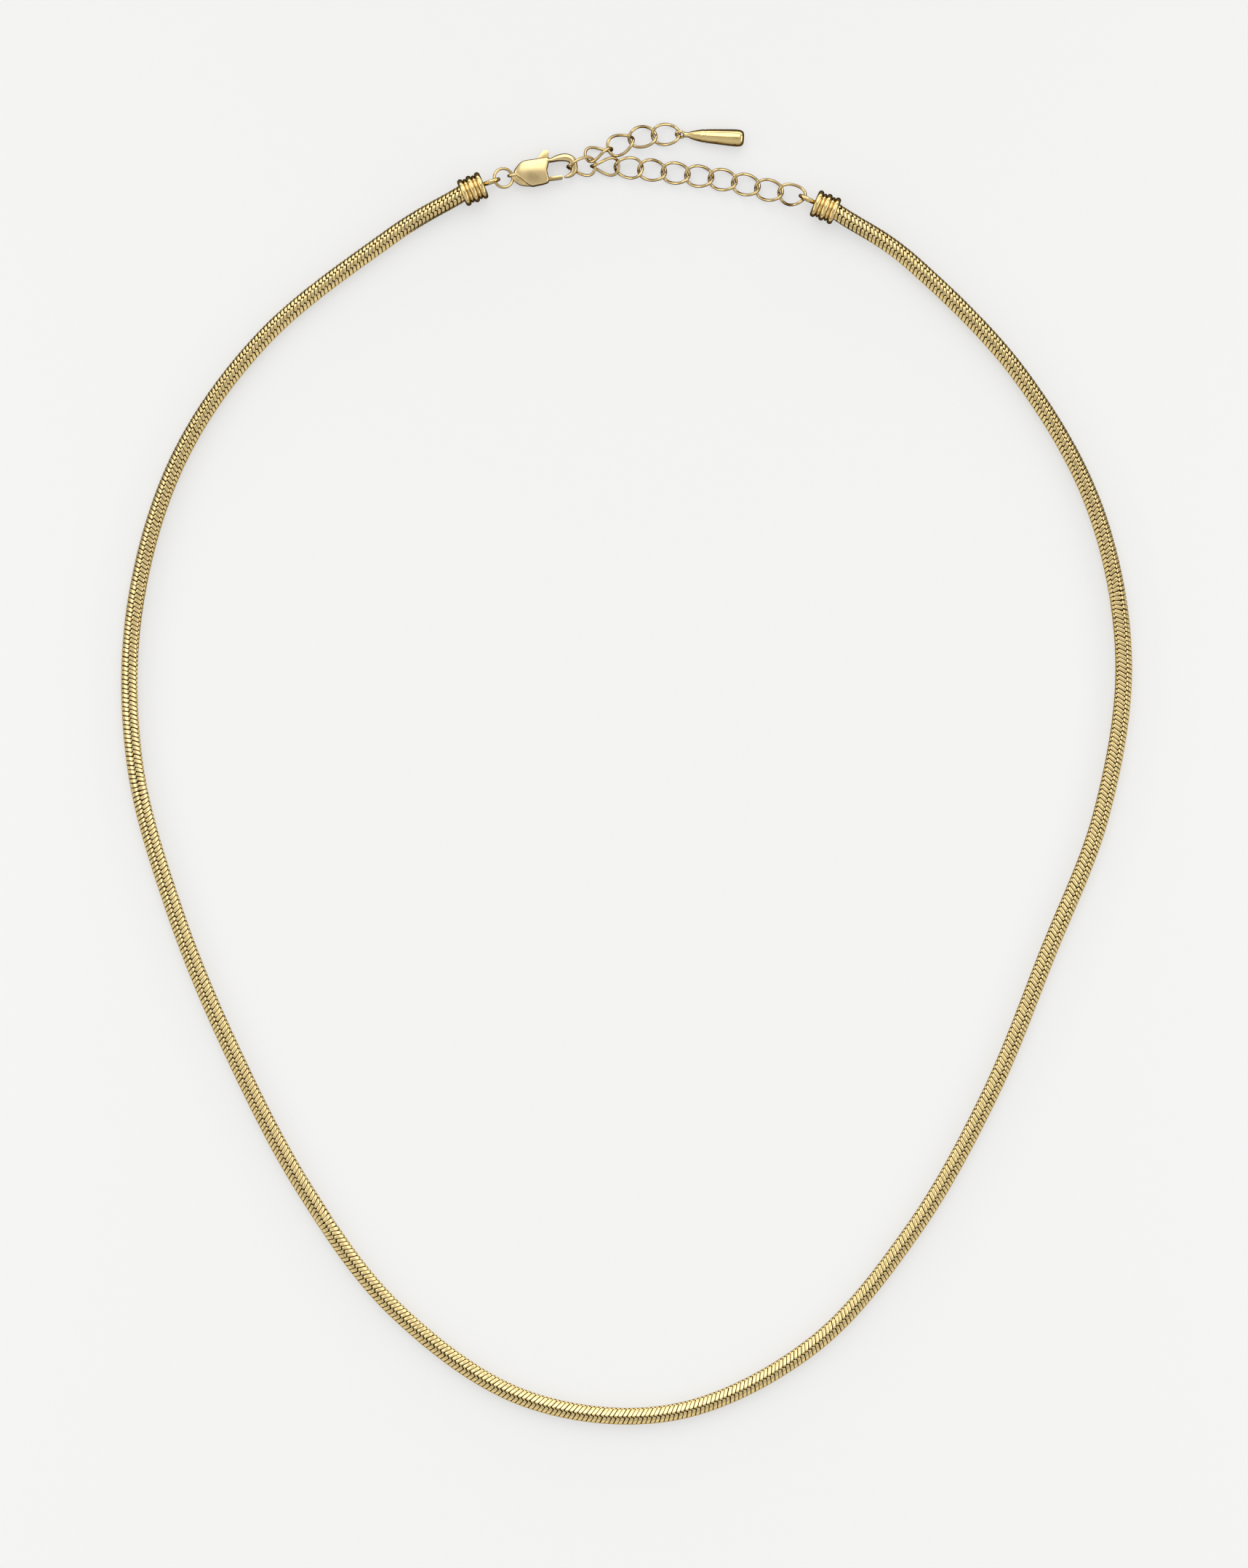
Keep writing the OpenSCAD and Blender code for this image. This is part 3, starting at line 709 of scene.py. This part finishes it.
def twisted_link(name):
    """An oval wire link, twisted so that its ends stand across each other."""
    a, b = LINK_HALF_L, (LINK_W - LINK_WIRE) / 2
    rise = math.tan(math.radians(LINK_TWIST)) / a
    t = all_round(LINK_STEPS)
    line = np.stack([a * np.cos(t), b * np.sin(t), -rise * a * b * np.cos(t) * np.sin(t)], 1)
    ahead = unit(np.roll(line, -1, 0) - np.roll(line, 1, 0))
    out = unit(np.cross(ahead, (0, 0, 1)))
    up = np.cross(out, ahead)
    k = all_round(LINK_SIDES)[:, None]
    v = line[:, None] + LINK_WIRE / 2 * (out[:, None] * np.cos(k) + up[:, None] * np.sin(k))
    middle, axes = link_frame(name)
    v = v.reshape(-1, 3) @ axes.T + middle
    f = facing_out(v, skin_faces(LINK_STEPS, LINK_SIDES, True))
    dress(mesh_piece(name + "_wire", v * MM, f, SHADED_WIRE_GOLD), "necklace", "gold_polished", name)


# ---------------------------------------------------------------- clasp
# The clasp is shaped lying along X round its own middle, in millimetres
HALF = CLASP_W / 2
BODY_BACK = -0.55 * CLASP_L
BODY_FRONT = BODY_BACK + CLASP_L
HOOK_FRONT = BODY_FRONT + 0.2
TAIL_X = BODY_BACK - 0.05
PIVOT = np.array([0.18 * CLASP_L, 0.1 * HALF])
HUB_R = PIN_D / 2 + PIN_PLAY + 0.35
GATE_Y = -0.63 * HALF
GATE_END = HOOK_FRONT + 0.43 * HOOK_REACH - GAP
NUB_TIP = np.array([0.4 * CLASP_L, 1.31 * HALF])
NUB_TIP_R = 0.43
NUB_HEEL = np.array([0.245 * CLASP_L, HALF])
NUB_HEEL_R = 0.25
SLOT_T = LEVER_T + 2 * GAP
PIN_SUNK = 0.15
BORE_TOOL = 1               # half the height of the tool that bores the lever

# Outline of the dome: share of the body's length from its back, share of its half width
DOME = [
    (0, 0.14), (0.12, 0.62), (0.3, 0.93), (0.6, 0.97), (0.98, 1), (1.04, 0.85), (1, 0.5),
    (0.94, 0.05), (0.955, -0.45), (0.96, -0.75), (0.88, -0.93), (0.65, -1), (0.42, -0.98),
    (0.2, -0.42)]
DOME_CROWN = 0.5            # how much lower it is at its corners than in the middle
# Outline of the lower band along the dome's back edge
BAND = [
    (-0.06, 0.1), (0.1, 0.3), (0.4, 0), (0.6, -0.6), (0.55, -0.98), (0.24, -0.9), (0.06, -0.66),
    (-0.08, -0.18)]
BAND_Z = 0.25 * CLASP_T
# Hook: share of its reach, share of the half width, width in plan and height as shares of its
# thickness at the bow
HOOK = [
    (-0.09, 0.74, 0.5, 1.65), (0.08, 0.74, 0.56, 1.6), (0.27, 0.82, 0.78, 1.4),
    (0.48, 0.84, 0.95, 1.2), (0.66, 0.77, 1, 1.1), (0.81, 0.56, 0.95, 1), (0.87, 0.22, 0.82, 1),
    (0.86, -0.14, 0.77, 0.9), (0.78, -0.41, 0.66, 0.8), (0.65, -0.57, 0.5, 0.75),
    (0.5, -0.63, 0.3, 0.6), (0.46, -0.64, 0.14, 0.3)]
HOOK_SIDES = 28
HOOK_SQUARE = 0.8           # 1 for a round section; the corners get squarer towards 0


def outline_of(shares):
    """A closed line through the listed shares of the clasp body's length and half width."""
    corners = [(BODY_BACK + s * CLASP_L, h * HALF) for s, h in shares]
    return smooth_line(corners, 10, closed=True)


def crowned(outline, height_at, middle, edge, inset):
    """Closed skin: a crowned top and bottom over an outline, rounded towards an upright edge.
    The rounding drops by edge and takes up inset, a share of the way to the middle."""
    rounding = 1 - inset * (1 - np.sin(np.linspace(0, math.pi / 2, 6)))
    rows = []
    for s in (*np.linspace(0.02, 0.8, 10), *rounding):
        p = middle + s * (outline - middle)
        t = max(0.0, (s - (1 - inset)) / inset)
        z = height_at(p) - edge * (1 - math.sqrt(max(0, 1 - t * t)))
        rows.append(np.column_stack([p, z]))
    rows += [r * (1, 1, -1) for r in rows[::-1]]
    v = np.vstack(rows)
    return v, skin_faces(len(rows), len(outline), False).tolist() + end_faces(len(v), len(outline))


def swung(p):
    """A place on the lever when the gate is open."""
    x, y = np.asarray(p) - PIVOT
    c, s = pointing(LEVER_SWING)
    return PIVOT + np.array([x * c - y * s, x * s + y * c])


def lever_room():
    """Outline of the slot that the lever swings in."""
    left, right = PIVOT[0] - HUB_R - GAP, PIVOT[0] + HUB_R + 2 * GAP
    gate_right = HOOK_FRONT + HOOK_REACH / 4
    gate_top = max(PIVOT[1], swung((gate_right, GATE_Y + GATE_W / 2))[1]) + GAP
    gate_bottom = GATE_Y - GATE_W / 2 - GAP
    heel_left = min(left, swung(NUB_HEEL)[0] - NUB_HEEL_R - GAP)
    return np.array([
        (left, gate_bottom), (gate_right, gate_bottom), (gate_right, gate_top), (right, gate_top),
        (NUB_TIP[0] + NUB_TIP_R + GAP, NUB_TIP[1]), (heel_left, NUB_TIP[1]), (left, PIVOT[1])])


def clasp_hook():
    """The bow, thick at the body and drawn out to a point."""
    line = smooth_line(HOOK, 6)
    at = np.column_stack([HOOK_FRONT + line[:, 0] * HOOK_REACH, line[:, 1] * HALF])
    ahead = unit(np.gradient(at, axis=0))
    side = np.column_stack([ahead[:, 1], -ahead[:, 0]])
    a = all_round(HOOK_SIDES)
    across, up = (np.sign(x) * np.abs(x) ** HOOK_SQUARE for x in (np.sin(a), -np.cos(a)))
    half_w, half_h = line[:, 2:3] * HOOK_T / 2, line[:, 3:4] * HOOK_T / 2
    p = at[:, None] + (half_w * across)[..., None] * side[:, None]
    v = np.concatenate([p, (half_h * up)[..., None]], -1).reshape(-1, 3)
    f = skin_faces(len(line), HOOK_SIDES, False).tolist() + end_faces(len(v), HOOK_SIDES)
    o = solid("clasp_hook", v, f, CLASP_GOLD)
    smooth_by_angle(o, 60)
    return o


def laid_down(o):
    """o moved from the clasp's own frame to its place on the surface."""
    turn = Matrix.Rotation(math.radians(CLASP_HEADING), 4, "Z")
    o.data.transform(Matrix.Translation(Vector(CLASP_AT) * MM) @ turn)
    o.data.update()
    return o


def clasp_body():
    """The cast body: dome, band, hook, tail ring and the lever's pin."""
    corner = math.hypot(CLASP_L, CLASP_W) / 2
    ball = (corner * corner + DOME_CROWN ** 2) / (2 * DOME_CROWN)

    def dome_height(p):
        return CLASP_T / 2 - ball + np.sqrt(ball * ball - (p ** 2).sum(1))

    def band_height(p):
        return np.full(len(p), BAND_Z)

    v, f = crowned(outline_of(DOME), dome_height, (0.2, 0), 0.36, 0.14)
    dome = solid("clasp_dome", v, f, CLASP_GOLD)
    v, f = crowned(outline_of(BAND), band_height, (-1.3, -0.7), 0.22, 0.16)
    band = solid("clasp_band", v, f, CLASP_GOLD)
    for o in (dome, band):
        cut(o, prism("room", lever_room(), SLOT_T / 2, CLASP_GOLD))
        smooth_by_angle(o, 38)
    hook = clasp_hook()
    v, f = wire_ring((TAIL_D - TAIL_WIRE) / 2, TAIL_WIRE, 64, 18)
    tail = solid("clasp_tail", placed(v, (TAIL_X, 0, 0), ((90, "X"),)), f, CLASP_GOLD)
    pin = prism("clasp_pin", circle(PIVOT, PIN_D / 2, 32), SLOT_T / 2 + PIN_SUNK, CLASP_GOLD)
    o = join_into(dome, [band, hook, tail, pin])
    o.name = "clasp_cast_body"
    dress(laid_down(o), "necklace", "gold_polished", "clasp_body")


def hull_of(*circles):
    """The line drawn tight round circles of (middle, radius)."""
    p = np.vstack([circle(middle, r, 40) for middle, r in circles])
    return p[convex_hull_2d([tuple(x) for x in p])]


def clasp_lever():
    """The sprung lever: plate with the thumb nub, arm and gate, bored for the pin."""
    hub, elbow = (PIVOT, HUB_R), ((PIVOT[0] + GATE_W / 2, GATE_Y), GATE_W / 2)
    end = ((GATE_END - GATE_W / 2, GATE_Y), GATE_W / 2)
    plate = hull_of(hub, (NUB_TIP, NUB_TIP_R), (NUB_HEEL, NUB_HEEL_R))
    o = prism("lever_plate", plate, LEVER_T / 2, BRIGHT_GOLD)
    for name, outline in (("arm", hull_of(hub, elbow)), ("gate", hull_of(elbow, end))):
        cut(o, prism(name, outline, LEVER_T / 2, BRIGHT_GOLD), "UNION")
    cut(o, prism("bore", circle(PIVOT, PIN_D / 2 + PIN_PLAY, 32), BORE_TOOL, BRIGHT_GOLD))
    bevelled(o, 0.18, 4, 50)
    smooth_by_angle(o, 40)
    dress(laid_down(o), "lever", "gold_polished", "clasp_lever")


# ---------------------------------------------------------------- drop tag
# Share of its length, share of its greatest radius
TAG = [
    (0, 0.38), (0.08, 0.54), (0.2, 0.71), (0.3, 0.79), (0.45, 0.86), (0.6, 0.92), (0.75, 0.98),
    (0.86, 1), (0.93, 0.96), (0.97, 0.85), (0.99, 0.7), (1, 0.5)]
NECK_L = 0.7
NECK_R = 0.3 * TAG_D / 2
NECK_FOOT_R = 0.36 * TAG_D / 2
SEAM_AT = 0.28 * TAG_L
SEAM_HALF_W, SEAM_DEPTH, SEAM_SLOPE = 0.02, 0.05, 0.6


def drop_tag():
    """The turned drop with the seam round it, its neck and its eye."""
    eye_r = (EYE_D - EYE_WIRE) / 2
    start = eye_r + NECK_L
    drop = [(ON_AXIS, start)]
    for s, r in smooth_line(TAG, 6):
        x = s * TAG_L
        beside = max(0, abs(x - SEAM_AT) - SEAM_HALF_W)
        drop.append((r * TAG_D / 2 - max(0, SEAM_DEPTH - SEAM_SLOPE * beside), start + x))
    drop.append((ON_AXIS, start + TAG_L))
    neck = [(ON_AXIS, eye_r), (NECK_R, eye_r), (NECK_R, start - 0.08), (NECK_FOOT_R, start),
            (ON_AXIS, start + 0.1)]
    parts = []
    for profile, around in ((drop, 80), (neck, 40)):
        v, f = turned_shape(profile, around)
        v = placed(v, turns=((90, "Y"),))
        parts.append((v, facing_out(v, f)))
    v, f = wire_ring(eye_r, EYE_WIRE, 56, 16)
    parts.append((placed(v, turns=((90 - LINK_TWIST, "X"),)), f))
    v, f = joined(parts)
    v = placed(v, EYE_AT, ((TAG_HEADING, "Z"), (-TAG_SLOPE, "Y")))
    o = mesh_piece("tag_turned", v * MM, f, BRIGHT_GOLD)
    smooth_by_angle(o, 50)
    dress(o, "necklace", "gold_polished", "drop_tag")


# ---------------------------------------------------------------- floor, light and camera
FLOOR_HALF = 1.5
WARM_WHITE = (1, 0.99, 0.96)
# name, place and size in metres, and radiance
SOFTBOXES = [
    ("back", (-0.03, 0.62, 0.60), (0.9, 0.38), 1.4),
    ("back_low", (0.0, 1.0, 0.17), (2.4, 0.3), 1.5),
    ("high", (-0.02, 0.36, 0.78), (0.7, 0.30), 1.2),
    ("left", (-0.26, 0.02, 0.12), (0.34, 0.09), 1.3),
    ("right", (0.26, 0.02, 0.12), (0.34, 0.09), 1.3)]
# Colour of the room at the skirting and overhead, and its greys between: height as the upward
# part of the direction, and how bright it is
SKIRTING = (0.36, 0.35, 0.33)
OVERHEAD = (0.40, 0.39, 0.38)
WALLS = [(0.13, 0.42), (0.3, 0.76), (0.7, 0.74), (0.93, 0.64), (0.975, 0.62), (0.99, 0.44)]
PICTURE_W = 0.1716
CAMERA_AT = (-0.0002, -0.0011)
CAMERA_HEIGHT = 1.0         # above the middle of the chain
CHAIN_MIDDLE_Z = 0.0012
SENSOR_W = 36


def floor():
    """The surface that the necklace lies on."""
    h = FLOOR_HALF
    corners = [(-h, -h, 0), (h, -h, 0), (h, h, 0), (-h, h, 0)]
    mesh_piece("floor", corners, [[0, 1, 2, 3]], paper(), smooth=False)


def softbox(name, at, size, radiance):
    """A soft studio light, turned to the middle of the necklace."""
    lamp = bpy.data.lights.new(name, "AREA")
    lamp.shape = "RECTANGLE"
    lamp.size, lamp.size_y = size
    lamp.energy = radiance * 4 * size[0] * size[1]
    lamp.color = WARM_WHITE
    o = bpy.data.objects.new(name, lamp)
    o.location = at
    o.rotation_euler = (-Vector(at)).to_track_quat("-Z", "Y").to_euler()
    bpy.context.scene.collection.objects.link(o)


def room():
    """A pale room, brighter at the sides than overhead, dark at the skirting and with the dark
    of the camera at the top."""
    w = bpy.data.worlds.new("studio")
    bpy.context.scene.world = w
    w.use_nodes = True
    t = w.node_tree
    direction = node(t, "ShaderNodeTexCoord").outputs["Generated"]
    height = node(t, "ShaderNodeSeparateXYZ", {"Vector": direction}).outputs["Z"]
    ramp = node(t, "ShaderNodeValToRGB", {"Fac": height})
    stops = ramp.color_ramp.elements
    stops[0].position, stops[0].color = 0.0, (*SKIRTING, 1)
    stops[1].position, stops[1].color = 1.0, (*OVERHEAD, 1)
    for at, grey in WALLS:
        stops.new(at).color = (grey, grey, grey, 1)
    background = t.nodes["Background"]
    background.inputs["Strength"].default_value = 1.0
    t.links.new(ramp.outputs["Color"], background.inputs["Color"])


def camera():
    """Straight down, with the frame 171.6 by 215.6 mm at the necklace."""
    cam = bpy.data.cameras.new("camera")
    cam.sensor_fit = "HORIZONTAL"
    cam.sensor_width = SENSOR_W
    cam.lens = SENSOR_W * CAMERA_HEIGHT / PICTURE_W
    cam.clip_start = 0.01
    o = bpy.data.objects.new("camera", cam)
    o.location = (*CAMERA_AT, CAMERA_HEIGHT + CHAIN_MIDDLE_Z)
    bpy.context.scene.collection.objects.link(o)
    bpy.context.scene.camera = o


camera()
floor()
room()
for light in SOFTBOXES:
    softbox(*light)
bpy.context.scene.view_settings.view_transform = "Standard"

snake_chain()
end_cap("end_cap_left", ROUTE[0], LEFT_CAP)
end_cap("end_cap_right", ROUTE[-1], RIGHT_CAP)
jump_ring()
for number in range(1, 15):
    twisted_link("extender_link_%02d" % number)
clasp_body()
clasp_lever()
drop_tag()
